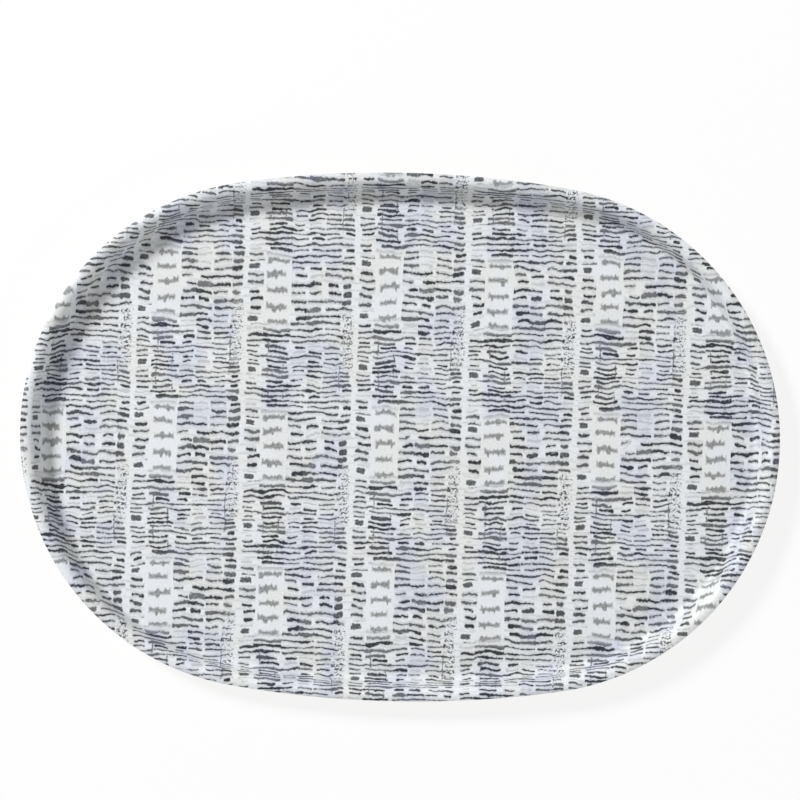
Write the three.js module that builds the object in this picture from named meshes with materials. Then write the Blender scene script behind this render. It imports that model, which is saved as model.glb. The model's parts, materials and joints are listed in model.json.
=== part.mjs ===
// An oval serving tray: five birch veneers pressed in one mould between a printed
// decor sheet and a plain backing sheet. Millimetres, +Z up, +X along the tray.
// The origin is the centre of the underside, on the surface the tray rests on.
import * as THREE from "three";

// Outline: an oval of four arcs that meet without a corner.
const LENGTH = 460;
const WIDTH = 320;
const END_RADIUS = 154;

// Section of the upper face, from the cut edge inwards. The lip is one arc: it rises
// from the drooping edge to its crest and bends down into the wall.
const WELL_DEPTH = 14.5;
const LIP_RADIUS = 5.5;
const LIP_DROOP = THREE.MathUtils.degToRad(30);
const WALL_ANGLE = THREE.MathUtils.degToRad(75);
const COVE_RADIUS = 3.5;

// Thickness of the layers and of the glue between them.
const SHEET = 0.3;
const VENEER = 0.6;
const GLUE_LINE = 0.04;

// Facets.
const END_SEGMENTS = 26;
const SIDE_SEGMENTS = 6;
const DROOP_SEGMENTS = 1;
const BEND_SEGMENTS = 3;
const COVE_SEGMENTS = 2;

const MELAMINE_PRINT = { color: 0xcdd1d6, roughness: 0.38, metalness: 0 };
const MELAMINE_PLAIN = { color: 0xe2e2df, roughness: 0.5, metalness: 0 };
const BIRCH_LONG = { color: 0xd8bd93, roughness: 0.62, metalness: 0 };
const BIRCH_CROSS = { color: 0xc9a878, roughness: 0.66, metalness: 0 };

// The layers, from the top down. Neighbouring veneers cross their grain.
const LAYERS = [
  { name: "top_print_sheet", thickness: SHEET, finish: MELAMINE_PRINT },
  { name: "face_veneer", thickness: VENEER, finish: BIRCH_LONG },
  { name: "upper_cross_veneer", thickness: VENEER, finish: BIRCH_CROSS },
  { name: "centre_veneer", thickness: VENEER, finish: BIRCH_LONG },
  { name: "lower_cross_veneer", thickness: VENEER, finish: BIRCH_CROSS },
  { name: "back_veneer", thickness: VENEER, finish: BIRCH_LONG },
  { name: "underside_sheet", thickness: SHEET, finish: MELAMINE_PLAIN },
];

const layersThick = LAYERS.reduce((sum, layer) => sum + layer.thickness, 0);
const floorHeight = layersThick + GLUE_LINE * (LAYERS.length - 1);
const lipHeight = floorHeight + WELL_DEPTH;

// The side arcs' radius follows from the length, the width and the end arcs.
const halfLength = LENGTH / 2;
const halfWidth = WIDTH / 2;
const endCentre = halfLength - END_RADIUS;
const sideRadius =
  (halfWidth ** 2 + endCentre ** 2 - END_RADIUS ** 2) / (2 * (halfWidth - END_RADIUS));
const sideCentre = sideRadius - halfWidth;
const sideHalfAngle = Math.atan2(endCentre, sideCentre);

// How far in from the outer edge the crest of the lip and the flat floor lie.
const crestInset = LIP_RADIUS * Math.sin(LIP_DROOP);
const bendAndCove = LIP_RADIUS + COVE_RADIUS;
const wallLength =
  (WELL_DEPTH - bendAndCove * (1 - Math.cos(WALL_ANGLE))) / Math.sin(WALL_ANGLE);
const floorInset =
  crestInset + bendAndCove * Math.sin(WALL_ANGLE) + wallLength * Math.cos(WALL_ANGLE);

// Equally spaced angles from start up to, but without, end.
function anglesBetween(start, end, segments) {
  return Array.from({ length: segments }, (_, i) => start + ((end - start) * i) / segments);
}

// The stations round the outline: the arc's centre, its radius and the outward normal.
// All inset outlines share the same centres, so they stay parallel to the cut edge.
function arcStations(centreX, centreY, radius, start, end, segments) {
  return anglesBetween(start, end, segments).map((angle) => ({
    centreX,
    centreY,
    radius,
    normalX: Math.cos(angle),
    normalY: Math.sin(angle),
  }));
}

function ovalStations() {
  const quarter = Math.PI / 2;
  const endHalfAngle = quarter - sideHalfAngle;
  const endArc = (centreX, middle) =>
    arcStations(centreX, 0, END_RADIUS, middle - endHalfAngle, middle + endHalfAngle, END_SEGMENTS);
  const sideArc = (centreY, middle) =>
    arcStations(0, centreY, sideRadius, middle - sideHalfAngle, middle + sideHalfAngle, SIDE_SEGMENTS);
  return [
    ...endArc(endCentre, 0),
    ...sideArc(-sideCentre, quarter),
    ...endArc(-endCentre, 2 * quarter),
    ...sideArc(sideCentre, 3 * quarter),
  ];
}

// Points on an arc of the section, both ends included. x is the inset from the outer
// edge, y the height.
function sectionArc(inset, height, radius, start, end, segments) {
  return Array.from({ length: segments + 1 }, (_, i) => {
    const angle = start + ((end - start) * i) / segments;
    return new THREE.Vector2(inset + radius * Math.cos(angle), height + radius * Math.sin(angle));
  });
}

// The section of the surface that lies a given depth below the upper face, from the
// cut edge to the floor. The cut edge is square to the lip, so it faces out and down.
function sectionAtDepth(depth) {
  const up = Math.PI / 2;
  const wallNormal = up - WALL_ANGLE;
  const lipArc = (start, end, segments) =>
    sectionArc(crestInset, lipHeight - LIP_RADIUS, LIP_RADIUS - depth, start, end, segments);
  const droop = lipArc(up + LIP_DROOP, up, DROOP_SEGMENTS);
  const bend = lipArc(up, wallNormal, BEND_SEGMENTS);
  const cove = sectionArc(
    floorInset,
    floorHeight + COVE_RADIUS,
    COVE_RADIUS + depth,
    Math.PI + wallNormal,
    3 * up,
    COVE_SEGMENTS,
  );
  return [...droop.slice(0, -1), ...bend, ...cove];
}

// A closed shell through parallel rings, one ring for each section point. The first
// and the last ring bound level floors, each closed by a fan round its centre.
function shellGeometry(section, stations) {
  const positions = [];
  for (const { x: inset, y: height } of section) {
    for (const { centreX, centreY, radius, normalX, normalY } of stations) {
      const reach = radius - inset;
      positions.push(centreX + reach * normalX, centreY + reach * normalY, height);
    }
  }
  const count = stations.length;
  const lastRing = (section.length - 1) * count;
  const firstHub = section.length * count;
  const lastHub = firstHub + 1;
  positions.push(0, 0, section[0].y);
  positions.push(0, 0, section[section.length - 1].y);

  const triangles = [];
  for (let i = 0; i < count; i += 1) {
    const next = (i + 1) % count;
    triangles.push(firstHub, i, next);
    triangles.push(lastHub, lastRing + next, lastRing + i);
    for (let ring = 0; ring < lastRing; ring += count) {
      const outer = ring + count;
      triangles.push(ring + i, outer + i, outer + next);
      triangles.push(ring + i, outer + next, ring + next);
    }
  }
  const geometry = new THREE.BufferGeometry();
  geometry.setAttribute("position", new THREE.Float32BufferAttribute(positions, 3));
  geometry.setIndex(triangles);
  geometry.computeVertexNormals();
  return geometry;
}

// One layer: out over its upper face from the floor to the cut edge, then back under.
function makeLayer({ name, thickness, finish }, depth, stations) {
  const upper = sectionAtDepth(depth).reverse();
  const lower = sectionAtDepth(depth + thickness);
  const geometry = shellGeometry([...upper, ...lower], stations);
  const material = new THREE.MeshStandardMaterial({ ...finish, flatShading: true });
  const mesh = new THREE.Mesh(geometry, material);
  mesh.name = name;
  return mesh;
}

function makeTray() {
  const tray = new THREE.Group();
  tray.name = "oval_serving_tray";
  const stations = ovalStations();
  let depth = 0;
  for (const layer of LAYERS) {
    tray.add(makeLayer(layer, depth, stations));
    depth += layer.thickness + GLUE_LINE;
  }
  return tray;
}

export default makeTray();
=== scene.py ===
"""An oval serving tray pressed from birch veneers, with a dash print on its upper face.

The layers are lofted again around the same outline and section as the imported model,
with fine steps in place of facets. Lengths are metres; the print works in millimetres.
"""

import json
import math

import bmesh
import bpy
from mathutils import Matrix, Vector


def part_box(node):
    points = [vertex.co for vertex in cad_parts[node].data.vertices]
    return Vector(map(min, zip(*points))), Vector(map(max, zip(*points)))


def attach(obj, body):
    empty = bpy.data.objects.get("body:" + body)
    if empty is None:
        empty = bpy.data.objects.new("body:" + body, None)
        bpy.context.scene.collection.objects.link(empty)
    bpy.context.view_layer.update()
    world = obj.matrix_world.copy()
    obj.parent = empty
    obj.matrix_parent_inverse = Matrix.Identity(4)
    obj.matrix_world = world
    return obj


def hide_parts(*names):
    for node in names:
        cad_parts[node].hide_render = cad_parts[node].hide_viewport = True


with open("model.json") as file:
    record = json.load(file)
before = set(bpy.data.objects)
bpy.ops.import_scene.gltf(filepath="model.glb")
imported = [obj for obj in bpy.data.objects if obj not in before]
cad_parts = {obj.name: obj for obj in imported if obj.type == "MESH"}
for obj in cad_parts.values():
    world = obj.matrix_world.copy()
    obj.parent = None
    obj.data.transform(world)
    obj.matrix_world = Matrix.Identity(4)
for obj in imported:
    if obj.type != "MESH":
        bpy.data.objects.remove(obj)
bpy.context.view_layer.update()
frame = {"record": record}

MM = 0.001

# Driving dimensions that the node boxes don't give.
END_RADIUS = 154 * MM
LIP_RADIUS = 5.5 * MM
LIP_DROOP = math.radians(30)
WALL_ANGLE = math.radians(75)
COVE_RADIUS = 3.5 * MM
WELL_DEPTH = 14.5 * MM
EDGE_ROUNDING = 0.22 * MM

# The square map: how far the rolled-flat sheet may reach past the tray's outline, and the
# band (start, height) that each side of the sheet has of the square.
MAP_MARGIN = 14 * MM
MAP_HALF_WIDTH = 0.49
HIDDEN_BAND = (0.004, 0.1)
SHOWN_BAND = (0.112, 0.884)

# Steps of the fine surface.
END_STEPS = 100
SIDE_STEPS = 24
DROOP_STEPS = 4
BEND_STEPS = 12
COVE_STEPS = 10
EDGE_STEPS = 3
SHARP_ANGLE = math.radians(50)

LAYERS = (
    "top_print_sheet",
    "face_veneer",
    "upper_cross_veneer",
    "centre_veneer",
    "lower_cross_veneer",
    "back_veneer",
    "underside_sheet",
)
SLOTS = {entry["node"]: entry["material_slot"] for entry in frame["record"]["subparts"]}

# The outline and the section, worked out from the top sheet's box.
top_low, top_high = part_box("top_print_sheet")
half_length, half_width, crest_height = top_high
floor_height = crest_height - WELL_DEPTH
end_centre = half_length - END_RADIUS
side_radius = (half_width**2 + end_centre**2 - END_RADIUS**2) / (2 * (half_width - END_RADIUS))
side_centre = side_radius - half_width
side_half_angle = math.atan2(end_centre, side_centre)
crest_inset = LIP_RADIUS * math.sin(LIP_DROOP)
bend_and_cove = LIP_RADIUS + COVE_RADIUS
wall_length = (WELL_DEPTH - bend_and_cove * (1 - math.cos(WALL_ANGLE))) / math.sin(WALL_ANGLE)
floor_inset = crest_inset + bend_and_cove * math.sin(WALL_ANGLE) + wall_length * math.cos(WALL_ANGLE)


def steps(start, end, count):
    """count equal steps from start towards end, without the end itself."""
    return [start + (end - start) * i / count for i in range(count)]


# ---------------------------------------------------------------- geometry


def oval_stations():
    """(arc centre x, y, arc radius, normal x, y) round the outline, anticlockwise."""
    up = math.pi / 2
    arcs = (
        (end_centre, 0, END_RADIUS, 0, up - side_half_angle, END_STEPS),
        (0, -side_centre, side_radius, up, side_half_angle, SIDE_STEPS),
        (-end_centre, 0, END_RADIUS, 2 * up, up - side_half_angle, END_STEPS),
        (0, side_centre, side_radius, 3 * up, side_half_angle, SIDE_STEPS),
    )
    return [
        (cx, cy, radius, math.cos(angle), math.sin(angle))
        for cx, cy, radius, middle, half, count in arcs
        for angle in steps(middle - half, middle + half, count)
    ]


def at_inset(station, inset):
    cx, cy, radius, nx, ny = station
    return cx + (radius - inset) * nx, cy + (radius - inset) * ny


def lip_point(angle, depth):
    """A section point (inset, height) on the lip: angle from the crest, inwards positive."""
    radius = LIP_RADIUS - depth
    return (
        crest_inset + radius * math.sin(angle),
        crest_height - LIP_RADIUS + radius * math.cos(angle),
    )


def cove_point(angle, depth):
    """A section point on the cove: angle from straight down, outwards positive."""
    radius = COVE_RADIUS + depth
    return (
        floor_inset - radius * math.sin(angle),
        floor_height + COVE_RADIUS - radius * math.cos(angle),
    )


def section(depth):
    """The section of the surface at a depth, from just inside the cut edge to the floor."""
    lip = steps(-LIP_DROOP, 0, DROOP_STEPS)[1:] + steps(0, WALL_ANGLE, BEND_STEPS) + [WALL_ANGLE]
    cove = steps(WALL_ANGLE, 0, COVE_STEPS) + [0]
    return [lip_point(a, depth) for a in lip] + [cove_point(a, depth) for a in cove]


def cut_edge(depth, rounding, outwards):
    """The corner between a face and the cut edge, from the face to the edge."""
    points = []
    for i in range(EDGE_STEPS + 1):
        turn = math.pi / 2 * i / EDGE_STEPS
        back = rounding * (1 - math.sin(turn)) / LIP_RADIUS
        down = rounding * (1 - math.cos(turn)) * outwards
        points.append(lip_point(-LIP_DROOP + back, depth + down))
    return points


def arc_lengths(points):
    """The distance along the section from each point to the last one."""
    lengths = [0.0]
    for a, b in zip(points[:0:-1], points[-2::-1]):
        lengths.append(lengths[-1] + math.dist(a, b))
    return lengths[::-1]


# Rings inside the floor edge: the first keeps the floor's shading level, the others keep
# its faces compact. Each is (inset past the floor edge, scale about the centre).
FLOOR_RINGS = ((2 * MM, 1.0), (2 * MM, 0.66), (2 * MM, 0.33))


def face_rings(depth, rounding, outwards):
    """Rings of one face of a layer from the cut edge to the floor: (inset, height, scale, length)."""
    edge = cut_edge(depth, rounding, outwards) if rounding else [lip_point(-LIP_DROOP, depth)]
    points = edge[::-1] + section(depth)
    rings = [(x, z, 1.0, run) for (x, z), run in zip(points, arc_lengths(points))]
    inset, height = points[-1]
    return rings + [(inset + more, height, scale, -more) for more, scale in FLOOR_RINGS]


def sheet_point(station, run, scale):
    """Where a point lies on the layer rolled flat; run is its distance past the floor edge."""
    x, y = at_inset(station, floor_inset - run)
    return x * scale, y * scale


def wide_map(point, hidden):
    """A place on the square map: the shown face has most of it, the glued one a strip."""
    low, height = HIDDEN_BAND if hidden else SHOWN_BAND
    return (
        0.5 + MAP_HALF_WIDTH * point[0] / (half_length + MAP_MARGIN),
        low + height * (0.5 + 0.5 * point[1] / (half_width + MAP_MARGIN)),
    )


def loft_layer(name, depth, thickness, round_top, round_bottom, mapped):
    """A closed shell: out over the upper face, round the cut edge and back underneath."""
    stations = oval_stations()
    count = len(stations)
    upper = face_rings(depth, round_top, 1)
    lower = face_rings(depth + thickness, round_bottom, -1)
    rings = upper[::-1] + lower
    mesh = bmesh.new()
    rows = []
    for inset, height, scale, _ in rings:
        points = [at_inset(station, inset) for station in stations]
        rows.append([mesh.verts.new((x * scale, y * scale, height)) for x, y in points])
    hubs = [mesh.verts.new((0, 0, ring[1])) for ring in (rings[0], rings[-1])]
    for i in range(count):
        j = (i + 1) % count
        mesh.faces.new((hubs[0], rows[0][i], rows[0][j]))
        mesh.faces.new((hubs[1], rows[-1][j], rows[-1][i]))
        for inner, outer in zip(rows, rows[1:]):
            mesh.faces.new((inner[i], outer[i], outer[j], inner[j]))
    for face in mesh.faces:
        face.smooth = True
    if mapped:
        flat = {hub: (0, 0) for hub in hubs}
        for row, (_, _, scale, run) in zip(rows, rings):
            for vert, station in zip(row, stations):
                flat[vert] = sheet_point(station, run, scale)
        rolled_edge = {
            vert: sheet_point(station, upper[0][3] + thickness, 1.0)
            for vert, station in zip(rows[len(upper)], stations)
        }
        shown = {hubs[0], *(vert for row in rows[: len(upper)] for vert in row)}
        map_sheet(mesh, flat, rolled_edge, shown)
    sharpen_corners(mesh)
    data = bpy.data.meshes.new(name)
    mesh.to_mesh(data)
    mesh.free()
    piece = bpy.data.objects.new(name, data)
    bpy.context.scene.collection.objects.link(piece)
    weigh = piece.modifiers.new("level_shading", "WEIGHTED_NORMAL")
    weigh.keep_sharp = True
    return piece


def map_sheet(mesh, flat, rolled_edge, shown):
    """The map the print is drawn on, in metres, and a second, square map named OFBake, where the
    shown face has most of the room. The second name is the export's own: it bakes onto a map of
    that name where there is one.
    """
    sheet = mesh.loops.layers.uv.new("sheet")
    square = mesh.loops.layers.uv.new("OFBake")
    for face in mesh.faces:
        hidden = not any(vert in shown for vert in face.verts)
        for loop in face.loops:
            vert = loop.vert
            loop[sheet].uv = flat[vert]
            at = flat[vert] if hidden else rolled_edge.get(vert, flat[vert])
            loop[square].uv = wide_map(at, hidden)


def sharpen_corners(mesh):
    for edge in mesh.edges:
        if len(edge.link_faces) == 2 and edge.calc_face_angle() > SHARP_ANGLE:
            edge.smooth = False


# ---------------------------------------------------------------- node arithmetic


class Field:
    """A number that varies over a surface: one output of a shader node, with arithmetic."""

    def __init__(self, tree, socket):
        self.tree = tree
        self.socket = socket

    def node(self, kind, **settings):
        node = self.tree.nodes.new(kind)
        for key, value in settings.items():
            setattr(node, key, value)
        return node

    def plug(self, value, target):
        if isinstance(value, Field):
            self.tree.links.new(value.socket, target)
        else:
            target.default_value = value

    def math(self, operation, *values):
        node = self.node("ShaderNodeMath", operation=operation)
        for value, target in zip(values, node.inputs):
            self.plug(value, target)
        return Field(self.tree, node.outputs[0])

    def __add__(self, other):
        return self.math("ADD", self, other)

    def __sub__(self, other):
        return self.math("SUBTRACT", self, other)

    def __rsub__(self, other):
        return self.math("SUBTRACT", other, self)

    def __mul__(self, other):
        return self.math("MULTIPLY", self, other)

    def __truediv__(self, other):
        return self.math("DIVIDE", self, other)

    def floor(self):
        return self.math("FLOOR", self)

    def abs(self):
        return self.math("ABSOLUTE", self)

    def sin(self):
        return self.math("SINE", self)

    def wrap(self, period):
        return self.math("FLOORED_MODULO", self, period)

    def over(self, other):
        """1 where this is greater than the other, else 0."""
        return self.math("GREATER_THAN", self, other)

    def under(self, other):
        """1 where this is less than the other, else 0."""
        return self.math("LESS_THAN", self, other)

    def min(self, other):
        return self.math("MINIMUM", self, other)

    def max(self, other):
        return self.math("MAXIMUM", self, other)

    def ramp(self, low, high):
        """0 below low, 1 above high, smooth between."""
        node = self.node("ShaderNodeMapRange", interpolation_type="SMOOTHSTEP")
        self.plug(self, node.inputs["Value"])
        self.plug(low, node.inputs["From Min"])
        self.plug(high, node.inputs["From Max"])
        return Field(self.tree, node.outputs["Result"])

    def point(self, y=0.0, z=0.0):
        node = self.node("ShaderNodeCombineXYZ")
        for value, target in zip((self, y, z), node.inputs):
            self.plug(value, target)
        return Field(self.tree, node.outputs[0])

    def noise(self, scale=1.0, detail=1.0):
        """Smooth noise from 0 to 1 at this point."""
        node = self.node("ShaderNodeTexNoise", noise_dimensions="3D")
        node.inputs["Scale"].default_value = scale
        node.inputs["Detail"].default_value = detail
        self.plug(self, node.inputs["Vector"])
        return Field(self.tree, node.outputs["Fac"])

    def noises(self, detail=1.0):
        """Three unrelated smooth noises from 0 to 1 at this point."""
        node = self.node("ShaderNodeTexNoise", noise_dimensions="3D")
        node.inputs["Scale"].default_value = 1.0
        node.inputs["Detail"].default_value = detail
        self.plug(self, node.inputs["Vector"])
        return self.split(node.outputs["Color"])

    def chances(self):
        """Four numbers from 0 to 1 drawn for this point."""
        node = self.node("ShaderNodeTexWhiteNoise", noise_dimensions="3D")
        self.plug(self, node.inputs["Vector"])
        return [*self.split(node.outputs["Color"]), Field(self.tree, node.outputs["Value"])]

    def split(self, colour):
        node = self.node("ShaderNodeSeparateColor")
        self.tree.links.new(colour, node.inputs[0])
        return [Field(self.tree, out) for out in node.outputs]

    def mix(self, low, high):
        """A colour between two colours, by this field."""
        node = self.node("ShaderNodeMix", data_type="RGBA")
        self.plug(self, node.inputs[0])
        for value, target in ((low, node.inputs[6]), (high, node.inputs[7])):
            self.plug((*value, 1.0) if isinstance(value, tuple) else value, target)
        return Field(self.tree, node.outputs[2])


def new_material(name):
    """(material, its tree, its Principled node)"""
    material = bpy.data.materials.new(name)
    material.use_nodes = True
    tree = material.node_tree
    return material, tree, tree.nodes["Principled BSDF"]


def linear(red, green, blue):
    """A colour as eyes read it, 0 to 255, in the renderer's linear units."""
    return tuple(
        c / 255 / 12.92 if c / 255 <= 0.04045 else ((c / 255 + 0.055) / 1.055) ** 2.4
        for c in (red, green, blue)
    )


def place_in_mm(tree):
    """A point's x, y and z on its piece, in millimetres."""
    place = tree.nodes.new("ShaderNodeTexCoord")
    split = tree.nodes.new("ShaderNodeSeparateXYZ")
    tree.links.new(place.outputs["Object"], split.inputs[0])
    return [Field(tree, out) / MM for out in split.outputs]


def add_bump(tree, shader, height, strength, distance):
    bump = tree.nodes.new("ShaderNodeBump")
    bump.inputs["Strength"].default_value = strength
    bump.inputs["Distance"].default_value = distance
    tree.links.new(height.socket, bump.inputs["Height"])
    tree.links.new(bump.outputs[0], shader.inputs["Normal"])


# ---------------------------------------------------------------- the print

# The print repeats: two columns of dashes side by side, each with ROWS rows. Millimetres.
COLUMN = 68.0
TILE = 96.0
ROWS = 26.0
PITCH = TILE / ROWS
FIRST_COLUMN = -30.0
COLUMN_DROP = 4.0
PRINT_TURN = math.radians(-0.4)

# How far noise pushes the print sideways and along, and how far the rows crowd together.
SWAY = 3.0
RISE = 5.0
CROWDED_AT = 42.0
CROWDING = 4.0

# The strips of a column, left to right: the bounds between them, where their dashes start
# and stop, how thick they are, how much thicker the heavy ones get, how lumpy they are, how
# many rows are drawn in full, and how often a dash joins the next strip's. RAGGED is how
# much an end may fall short.
BOUNDS = (12.0, 29.0, 39.0, 49.0, 60.0)
STARTS = (2.0, 12.3, 29.3, 39.1, 49.2, 60.2)
STOPS = (11.0, 28.8, 38.9, 48.9, 59.8, 67.7)
RAGGED = (2.5, 5.0, 3.0, 3.0, 2.5, 2.0)
THICKNESS = (1.40, 1.78, 1.12, 1.26, 1.12, 1.70)
HEAVY = (0.15, 0.30, 0.55, 0.70, 0.20, 0.50)
LUMPS = (0.15, 0.50, 0.50, 0.50, 0.30, 0.40)
KEPT = (0.88, 0.99, 0.88, 0.88, 0.99, 0.99)
JOINED = (0.42, 0.45, 0.62, 0.52, 0.50, 0.0)
JOIN_REACH = 12.0

# How much ink the rows that aren't drawn in full still get, and the bleed round a dash.
FAINT_ROW = 0.3
BLEED = 0.24

# Squares in the first strip: how many a tile, the first one's height, the middle across the
# column, and half their width and height.
SQUARES = 3
SQUARES_AT = 10.0
SQUARE_MIDDLE = 6.0
SQUARE_HALF_WIDTH = 2.9
SQUARE_HALF_HEIGHT = 1.7

# Brushed marks in the second strip: their zone's height and reach, and where they start
# and stop across the column.
BRUSHED_AT = 92.0
BRUSHED_REACH = 22.0
BRUSHED_START = 13.2
BRUSHED_STOP = 27.8

# The specked zone of the last strip: its height, its reach and where it starts.
SPECKED_AT = 62.0
SPECKED_REACH = 18.0
SPECKED_FROM = 60.5

# Upright strokes: (place across the column, seed, share of rows, zone's height, its reach).
UPRIGHTS = (
    (60.0, 5.0, 0.62, 46.0, 14.0),
    (15.5, 6.0, 0.55, 44.0, 18.0),
    (25.0, 7.0, 0.40, 36.0, 14.0),
)

# The tint gathers round a height of the tile: (height, reach, softness).
TINT_ZONE = (32.0, 22.0, 14.0)

PAPER = linear(233, 236, 240)
LAVENDER = linear(217, 222, 234)
SAGE = linear(231, 233, 231)
INK = linear(38, 44, 49)
INK_BLUE = linear(36, 42, 58)
INK_SOFT = linear(88, 91, 90)


class Sheet:
    """Where a point lies on the printed sheet, in millimetres, and among the rows."""

    def __init__(self, tree):
        uv = tree.nodes.new("ShaderNodeUVMap")
        uv.uv_map = "sheet"
        split = tree.nodes.new("ShaderNodeSeparateXYZ")
        tree.links.new(uv.outputs[0], split.inputs[0])
        across = Field(tree, split.outputs[0]) / MM
        along = Field(tree, split.outputs[1]) / MM
        x = across * math.cos(PRINT_TURN) + along * math.sin(PRINT_TURN)
        y = along * math.cos(PRINT_TURN) - across * math.sin(PRINT_TURN)
        sway, rise, self.spare = (x * 0.07).point(y * 0.05).noises(detail=1.0)
        self.grain, self.fleck, self.speck = (x * 0.8).point(y * 0.95).noises(detail=2.0)
        self.fine = x.point(y).noise(0.6)
        self.x = x + (sway - 0.5) * SWAY
        self.y = y + (rise - 0.5) * RISE
        from_first = (self.x - FIRST_COLUMN) / COLUMN
        column = from_first.floor()
        self.parity = column.wrap(2.0)
        self.u = (from_first - column) * COLUMN
        self.v = (self.y + self.parity * COLUMN_DROP).wrap(TILE)
        crowd = ((self.v - CROWDED_AT) * (2 * math.pi / TILE)).sin()
        self.rows = (self.v + crowd * CROWDING) / PITCH
        self.row = self.rows.floor()
        self.row_key = self.row.wrap(ROWS) + self.parity * 100.0

    def off(self, height, times=1):
        """How far a point lies above or below a height that comes several times a tile."""
        period = TILE / times
        return ((self.v - height + period / 2).wrap(period) - period / 2).abs()

    def zone(self, height, reach, soft=4.0):
        """1 within reach of a height of the tile, 0 beyond, with a soft bound."""
        return 1.0 - self.off(height).ramp(reach - soft, reach + soft)


def pick(above, values):
    """The value of the strip a point is in; above holds 1 for each bound it's beyond."""
    total = float(values[0])
    for beyond, before, after in zip(above, values, values[1:]):
        total = beyond * (after - before) + total
    return total


def dashes(sheet):
    """The ink of the brush dashes, and for each bound 1 where a point is beyond it."""
    above = [sheet.u.over(bound) for bound in BOUNDS]
    strip = pick(above, range(len(STARTS)))
    first, second, third, fourth = strip.point(sheet.row_key, 1.0).chances()
    weight, keep, level, _ = strip.point(sheet.row_key, 2.0).chances()
    join_after = strip.point(sheet.row_key, 3.0).chances()[3].under(pick(above, JOINED))
    joined_before = (strip - 1.0).point(sheet.row_key, 3.0).chances()[3]
    join_before = joined_before.under(pick(above, (0.0, *JOINED[:-1])))
    wave, lump, dent = (sheet.x * 0.13).point(sheet.row_key * 5.3).noises(detail=1.5)

    ragged = pick(above, RAGGED)
    start = first * first * ragged + pick(above, STARTS) - join_before * JOIN_REACH
    stop = pick(above, STOPS) - second * second * ragged + join_after * JOIN_REACH
    ends = (sheet.u - start).min(stop - sheet.u)
    taper = ends.ramp(-0.5, 1.0)
    heavy = third.ramp(0.55, 1.0) * pick(above, HEAVY)
    thick = (weight * 0.5 + heavy + 0.6) * pick(above, THICKNESS) * (dent * 1.2 + 0.42)
    lumps = lump.ramp(0.52, 0.68) * pick(above, LUMPS)
    half = (thick * 0.5 + lumps) * taper

    shift = (level - 0.5) * 0.2 + (wave - 0.5) * 0.8
    off_row = (sheet.rows - sheet.row - 0.5 + shift).abs() * PITCH
    edge = half - off_row + (sheet.grain - 0.5) * 0.9 + (sheet.fleck - 0.5) * 1.7
    row_ink = keep.under(pick(above, KEPT)) * (1.0 - FAINT_ROW) + FAINT_ROW
    inked = ends.ramp(-0.3, 0.3) * row_ink
    drawn = edge.ramp(-0.34, 0.3) * inked
    bleed = edge.ramp(-1.6, -0.1) * inked * BLEED
    dry = sheet.fleck.ramp(0.3, 0.5) * 0.18 + 0.82
    between = 0.5 - (sheet.rows - sheet.row - 0.5 + (wave - 0.5) * 0.8).abs()
    hair = (0.2 - between).ramp(-0.05, 0.2) * lump.ramp(0.4, 0.65) * 0.2
    return (drawn * dry * (fourth * 0.26 + 0.83)).max(bleed).max(hair), above


def brushed_marks(sheet):
    """Soft grey strokes with ticks above and drips below, on every other row."""
    pair_at = sheet.rows / 2.0
    pair = pair_at.floor()
    key = pair.wrap(ROWS / 2) + sheet.parity * 50.0
    tick, drip, _ = (sheet.x * 0.36).point(key * 7.1, 4.0).noises(detail=1.2)
    first, second, _, _ = key.point(9.0).chances()
    height = (pair_at - pair - 0.35) * (2 * PITCH)
    top = tick.ramp(0.4, 0.7) * 1.5 + 1.0 - height
    bottom = height + drip.ramp(0.5, 0.72) * 1.7 + 1.0
    start = first * 2.0 + BRUSHED_START
    stop = BRUSHED_STOP - second * 2.5
    ends = (sheet.u - start).min(stop - sheet.u)
    shape = top.min(bottom).min(ends) + (sheet.fleck - 0.5) * 1.1
    return shape.ramp(-0.5, 1.0) * (sheet.grain.ramp(0.3, 0.6) * 0.3 + 0.7)


def squares(sheet):
    """Rough dark squares, evenly spaced up the first strip."""
    middle = SQUARE_MIDDLE - (sheet.spare - 0.5) * 3.0
    aside = (sheet.u - middle).abs() - SQUARE_HALF_WIDTH
    nearest = sheet.off(SQUARES_AT, SQUARES) - SQUARE_HALF_HEIGHT
    corners = aside.ramp(-1.5, 0.3) * nearest.ramp(-1.0, 0.3) * 0.5
    inside = (sheet.grain - 0.5) * 2.6 - aside.max(nearest) - corners
    return inside.ramp(-0.35, 0.5) * (sheet.fleck * 0.35 + 0.72)


def upright(sheet, at, seed, share):
    """A broken upright stroke that ties rows together."""
    chance = sheet.row_key.point(seed).chances()[3].under(share)
    line = (sheet.u - at + (sheet.spare - 0.5) * 1.5).abs() - 0.3
    return (1.0 - (line - (sheet.fleck - 0.5) * 2.4).ramp(-0.3, 0.4)) * chance * 0.8


def dark_ink(sheet, lines, above, brushed):
    """The dashes with room left for the other marks, and those marks added."""
    lines = lines * (1.0 - brushed)
    lines = lines * above[0].max(sheet.off(SQUARES_AT, SQUARES).ramp(2.4, 3.4))
    specked = sheet.zone(SPECKED_AT, SPECKED_REACH) * (sheet.u - SPECKED_FROM).ramp(0, 1.5)
    lines = lines * (1.0 - specked * sheet.speck.ramp(0.47, 0.52))
    specks = (sheet.fleck * 0.5 + sheet.grain).ramp(0.83, 0.9) * specked * 0.85
    dark = lines.max(squares(sheet)).max(specks)
    for at, seed, share, height, reach in UPRIGHTS:
        dark = dark.max(upright(sheet, at, seed, share) * sheet.zone(height, reach))
    return dark


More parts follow.
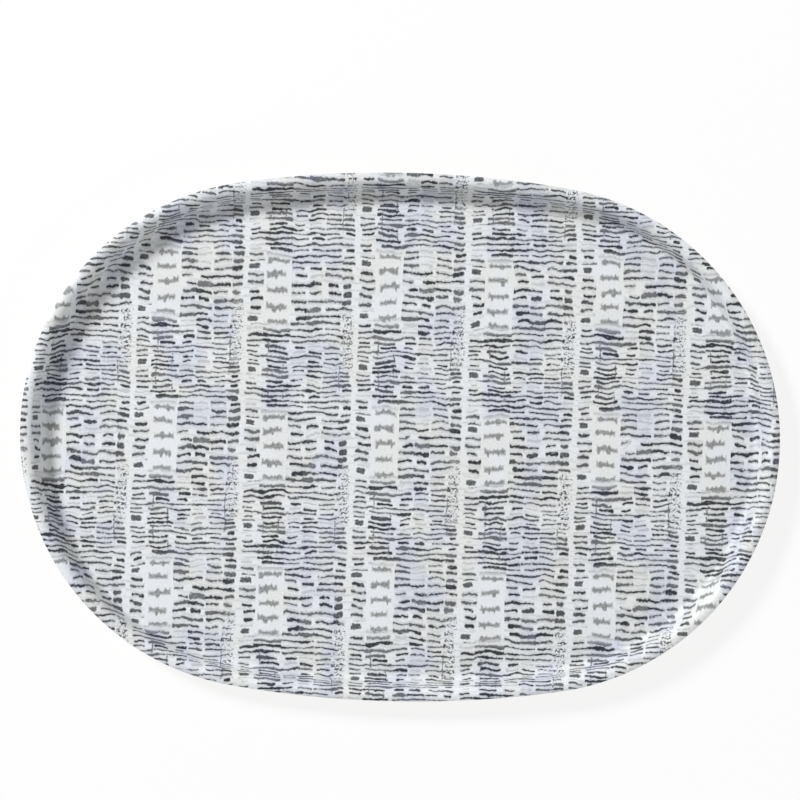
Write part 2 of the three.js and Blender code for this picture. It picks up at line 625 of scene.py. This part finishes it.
def tints(sheet, brushed):
    """How blue and how green the paper is, in soft patches. The blue spares the first strip."""
    blue, green, _ = (sheet.x * 0.045).point(sheet.y * 0.035, 3.0).noises()
    blue = (blue + sheet.zone(*TINT_ZONE) * 0.08).ramp(0.47, 0.68)
    blue = blue * sheet.u.ramp(9.0, 16.0) * sheet.u.ramp(67.0, 60.0) * (1.0 - brushed * 0.8)
    return blue, green.ramp(0.42, 0.6)


def dash_print(tree):
    """The sheet and its colour."""
    sheet = Sheet(tree)
    lines, above = dashes(sheet)
    brushed = sheet.zone(BRUSHED_AT, BRUSHED_REACH) * above[0] * (1.0 - above[1])
    dark = dark_ink(sheet, lines, above, brushed)
    blue, green = tints(sheet, brushed)
    ground = (green * 0.85).mix(PAPER, SAGE)
    ground = (blue * 0.75).mix(ground, LAVENDER)
    ground = (sheet.speck.ramp(0.4, 0.72) * 0.09).mix(ground, INK_BLUE)
    colour = (brushed_marks(sheet) * brushed * 0.82).mix(ground, INK_SOFT)
    return sheet, dark.mix(colour, blue.mix(INK, INK_BLUE))


def print_material():
    """Satin melamine over the printed paper."""
    material, tree, shader = new_material("printed_melamine")
    sheet, colour = dash_print(tree)
    tree.links.new(colour.socket, shader.inputs["Base Color"])
    rough = sheet.spare * 0.1 + 0.5
    tree.links.new(rough.socket, shader.inputs["Roughness"])
    add_bump(tree, shader, sheet.fine, 0.08, 0.05 * MM)
    return material


# ---------------------------------------------------------------- wood and backing

# Birch along the tray and across it, each pale and warm, and the pores of both.
LONG_GRAIN = (linear(224, 200, 160), linear(203, 170, 122))
CROSS_GRAIN = (linear(205, 174, 128), linear(178, 142, 96))
PORE = linear(120, 86, 52)

# The backing's two whites, its fibres and its specks.
WHITES = (linear(227, 226, 222), linear(222, 220, 215))
FIBRE = linear(208, 205, 198)
SPECK = linear(176, 172, 165)


def birch_material(name, along_tray):
    """Birch whose fibres run along the tray or across it."""
    material, tree, shader = new_material(name)
    x, y, z = place_in_mm(tree)
    fibre, side = (x, y) if along_tray else (y, x)
    streaks = (fibre * 0.05).point(side * 1.7, z * 2.6).noise(1.0, 4.0)
    pores = (fibre * 0.35).point(side * 5.0, z * 7.0).noise(1.0, 2.0).ramp(0.58, 0.72)
    bands = (fibre * 0.004).point(side * 0.12, z * 0.5).noise(1.0, 2.0)
    pale, warm = LONG_GRAIN if along_tray else CROSS_GRAIN
    colour = streaks.ramp(0.3, 0.7).mix(pale, warm)
    colour = (bands.ramp(0.45, 0.7) * 0.45).mix(colour, warm)
    colour = (pores * 0.5).mix(colour, PORE)
    tree.links.new(colour.socket, shader.inputs["Base Color"])
    tree.links.new((streaks * 0.2 + 0.42).socket, shader.inputs["Roughness"])
    add_bump(tree, shader, streaks - pores * 0.6, 0.35, 0.08 * MM)
    return material


def backing_material():
    """Plain off-white melamine with a faint fibre pattern."""
    material, tree, shader = new_material("plain_melamine")
    x, y, z = place_in_mm(tree)
    spot = x.point(y, z)
    cloud = spot.noise(0.012, 2.0)
    fibres = (x * 0.12).point(y * 1.4, z).noise(1.0, 4.0).ramp(0.35, 0.7)
    specks = spot.noise(0.9, 2.0).ramp(0.66, 0.74)
    colour = cloud.ramp(0.2, 0.8).mix(*WHITES)
    colour = (fibres * 0.3).mix(colour, FIBRE)
    colour = (specks * 0.35).mix(colour, SPECK)
    tree.links.new(colour.socket, shader.inputs["Base Color"])
    tree.links.new((cloud * 0.15 + 0.42).socket, shader.inputs["Roughness"])
    add_bump(tree, shader, spot.noise(1.2, 3.0), 0.25, 0.06 * MM)
    return material


# ---------------------------------------------------------------- the tray


def build_tray():
    """Every layer, lofted and given its finish. Only the outer two have rounded corners."""
    finishes = {
        "printed_melamine": print_material(),
        "birch_long_grain": birch_material("birch_long_grain", True),
        "birch_cross_grain": birch_material("birch_cross_grain", False),
        "plain_melamine": backing_material(),
    }
    for name in LAYERS:
        low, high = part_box(name)
        depth = crest_height - high.z
        thickness = high.z - low.z - WELL_DEPTH
        piece = loft_layer(
            name + "_smooth",
            depth,
            thickness,
            EDGE_ROUNDING if name == LAYERS[0] else 0.0,
            EDGE_ROUNDING if name == LAYERS[-1] else 0.0,
            mapped=name == LAYERS[0],
        )
        piece.data.materials.append(finishes[SLOTS[name]])
        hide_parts(name)
        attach(piece, "root")


# ---------------------------------------------------------------- stage, light, camera

WHITE = (1.0, 1.0, 1.0, 1.0)

# The floor gives off most of its own light, so that the tray's shadow on it stays faint.
FLOOR_SIZE = 6.0
FLOOR_GAP = 0.2 * MM
FLOOR_GREY = 0.18
FLOOR_GLOW = 0.81

KEY_AZIMUTH = math.radians(140)
KEY_ELEVATION = math.radians(37.5)
KEY_DISTANCE = 5.0
KEY_SIZE = 1.2
KEY_POWER = 212.0
FILL_AZIMUTH = math.radians(-38)
FILL_ELEVATION = math.radians(18)
FILL_DISTANCE = 3.0
FILL_SIZE = 1.6
FILL_POWER = 14.0

# The world's strength as light on the tray, and as the camera sees it.
AMBIENT = 0.43
BACKDROP = 0.9

CAMERA_HEIGHT = 0.96
CAMERA_ROLL = math.radians(1.17)
CAMERA_SHIFT = 22.4 * MM
VIEW_WIDTH = 483.6 * MM
SENSOR = 36.0


def make_floor():
    mesh = bmesh.new()
    bmesh.ops.create_grid(mesh, x_segments=1, y_segments=1, size=FLOOR_SIZE / 2)
    data = bpy.data.meshes.new("floor")
    mesh.to_mesh(data)
    mesh.free()
    floor = bpy.data.objects.new("floor", data)
    floor.location.z = -FLOOR_GAP
    bpy.context.scene.collection.objects.link(floor)
    material, tree, shader = new_material("floor")
    shader.inputs["Base Color"].default_value = (FLOOR_GREY, FLOOR_GREY, FLOOR_GREY, 1.0)
    shader.inputs["Roughness"].default_value = 0.9
    shader.inputs["Specular IOR Level"].default_value = 0.0
    shader.inputs["Emission Color"].default_value = WHITE
    shader.inputs["Emission Strength"].default_value = FLOOR_GLOW
    data.materials.append(material)


def make_light(name, azimuth, elevation, distance, size, power):
    """A round soft light turned to the tray."""
    light = bpy.data.lights.new(name, "AREA")
    light.shape = "DISK"
    light.size = size
    light.energy = power
    lamp = bpy.data.objects.new(name, light)
    reach = distance * math.cos(elevation)
    lamp.location = (
        reach * math.cos(azimuth),
        reach * math.sin(azimuth),
        distance * math.sin(elevation),
    )
    lamp.rotation_euler = (-lamp.location).to_track_quat("-Z", "Y").to_euler()
    bpy.context.scene.collection.objects.link(lamp)


def make_world():
    world = bpy.data.worlds.new("studio")
    world.use_nodes = True
    tree = world.node_tree
    background = tree.nodes["Background"]
    background.inputs["Color"].default_value = WHITE
    seen = Field(tree, tree.nodes.new("ShaderNodeLightPath").outputs["Is Camera Ray"])
    strength = seen * (BACKDROP - AMBIENT) + AMBIENT
    tree.links.new(strength.socket, background.inputs["Strength"])
    bpy.context.scene.world = world


def make_camera():
    """Straight above the tray, a little nearer its far side, and turned slightly."""
    lens = bpy.data.cameras.new("camera")
    lens.sensor_width = SENSOR
    lens.lens = SENSOR * CAMERA_HEIGHT / VIEW_WIDTH
    camera = bpy.data.objects.new("camera", lens)
    camera.rotation_euler = (0.0, 0.0, CAMERA_ROLL)
    camera.location = (
        -CAMERA_SHIFT * math.sin(CAMERA_ROLL),
        CAMERA_SHIFT * math.cos(CAMERA_ROLL),
        crest_height + CAMERA_HEIGHT,
    )
    bpy.context.scene.collection.objects.link(camera)
    bpy.context.scene.camera = camera


build_tray()
make_floor()
make_light("key", KEY_AZIMUTH, KEY_ELEVATION, KEY_DISTANCE, KEY_SIZE, KEY_POWER)
make_light("fill", FILL_AZIMUTH, FILL_ELEVATION, FILL_DISTANCE, FILL_SIZE, FILL_POWER)
make_world()
make_camera()
bpy.context.scene.view_settings.view_transform = "Standard"
